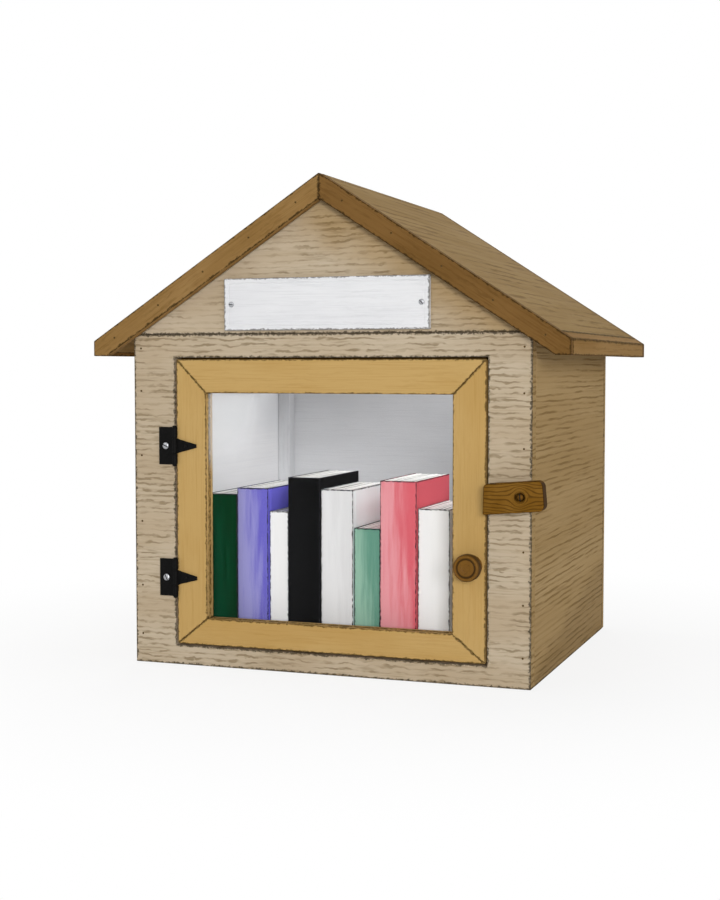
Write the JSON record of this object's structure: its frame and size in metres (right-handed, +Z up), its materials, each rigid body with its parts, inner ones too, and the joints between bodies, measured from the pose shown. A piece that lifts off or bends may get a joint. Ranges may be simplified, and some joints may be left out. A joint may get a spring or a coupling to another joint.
{
  "type": "street book exchange box",
  "caption": "Gabled timber book exchange box with a hinged glazed door, a turned knob, a wooden turn button, a bare sign board and a row of books inside.",
  "frame": {"origin": "on the ground plane, under the middle of the whole footprint, roof overhangs and knob included", "axes": "+Z up, -Y the side with the door, +X to the right of someone who stands in front of the door"},
  "size_m": [0.57, 0.4824, 0.5655],
  "materials": {
    "weathered_timber": "weathered grey-beige rough-sawn board with a horizontal grain",
    "brown_timber": "weathered brown rough-sawn board with a horizontal grain",
    "trim_timber": "brown stained trim",
    "door_timber": "golden stained planed timber",
    "inside_timber": "light grey painted timber",
    "dark_timber": "dark brown stained hardwood",
    "clear_pane": "clear glazing",
    "black_iron": "black painted",
    "bright_steel": "zinc plated",
    "dark_bronze": "dark bronze plated screw",
    "sign_paint": "pale grey-white painted board",
    "cover_dark_green": "dark green book cover",
    "cover_violet": "blue-violet book cover",
    "cover_white_slim": "white book cover",
    "cover_black": "black book cover",
    "cover_light_grey": "light grey book cover",
    "cover_teal": "grey-green book cover",
    "cover_coral": "coral pink book cover",
    "cover_white": "white book cover"
  },
  "bodies": {
    "box": {"floor_panel": "inside_timber", "side_panel_left": "brown_timber", "side_panel_right": "brown_timber", "front_panel": "weathered_timber", "back_panel": "weathered_timber", "gable_front": "weathered_timber", "gable_back": "weathered_timber", "corner_batten_front_left": "inside_timber", "corner_batten_front_right": "inside_timber", "corner_batten_back_left": "inside_timber", "corner_batten_back_right": "inside_timber", "door_stop_left": "dark_timber", "door_stop_right": "dark_timber", "door_stop_top": "dark_timber", "roof_panel_left": "brown_timber", "roof_panel_right": "brown_timber", "bargeboard_front_left": "trim_timber", "bargeboard_front_right": "trim_timber", "bargeboard_back_left": "trim_timber", "bargeboard_back_right": "trim_timber", "eave_fascia_left": "trim_timber", "eave_fascia_right": "trim_timber", "ridge_batten": "inside_timber", "sign_board": "sign_paint", "sign_screw_left": "bright_steel", "sign_screw_right": "bright_steel", "hinge_top_leaf": "black_iron", "hinge_top_pin": "black_iron", "hinge_top_leaf_screw": "bright_steel", "hinge_bottom_leaf": "black_iron", "hinge_bottom_pin": "black_iron", "hinge_bottom_leaf_screw": "bright_steel", "latch_screw": "dark_bronze", "latch_washer": "bright_steel", "book_dark_green": "cover_dark_green", "book_violet": "cover_violet", "book_white_slim": "cover_white_slim", "book_black": "cover_black", "book_light_grey": "cover_light_grey", "book_teal": "cover_teal", "book_coral": "cover_coral", "book_white": "cover_white"},
    "door": {"door_stile_left": "door_timber", "door_stile_right": "door_timber", "door_rail_top": "door_timber", "door_rail_bottom": "door_timber", "door_pane": "clear_pane", "glazing_bead_left": "door_timber", "glazing_bead_right": "door_timber", "glazing_bead_top": "door_timber", "glazing_bead_bottom": "door_timber", "hinge_top_strap": "black_iron", "hinge_top_strap_screw": "black_iron", "hinge_bottom_strap": "black_iron", "hinge_bottom_strap_screw": "black_iron", "door_knob": "dark_timber", "knob_screw": "bright_steel"},
    "turn_button": {"latch_bar": "dark_timber"}
  },
  "joints": [
    {"name": "door_hinge", "type": "hinge", "parent": "box", "child": "door", "pos_m": [-0.186, -0.21835, 0.1805], "axis": [0, 0, -1], "range_deg": [0, 160]},
    {"name": "turn_button_pivot", "type": "hinge", "parent": "box", "child": "turn_button", "pos_m": [0.231, -0.225, 0.211], "axis": [0, 1, 0], "continuous": true}
  ]
}
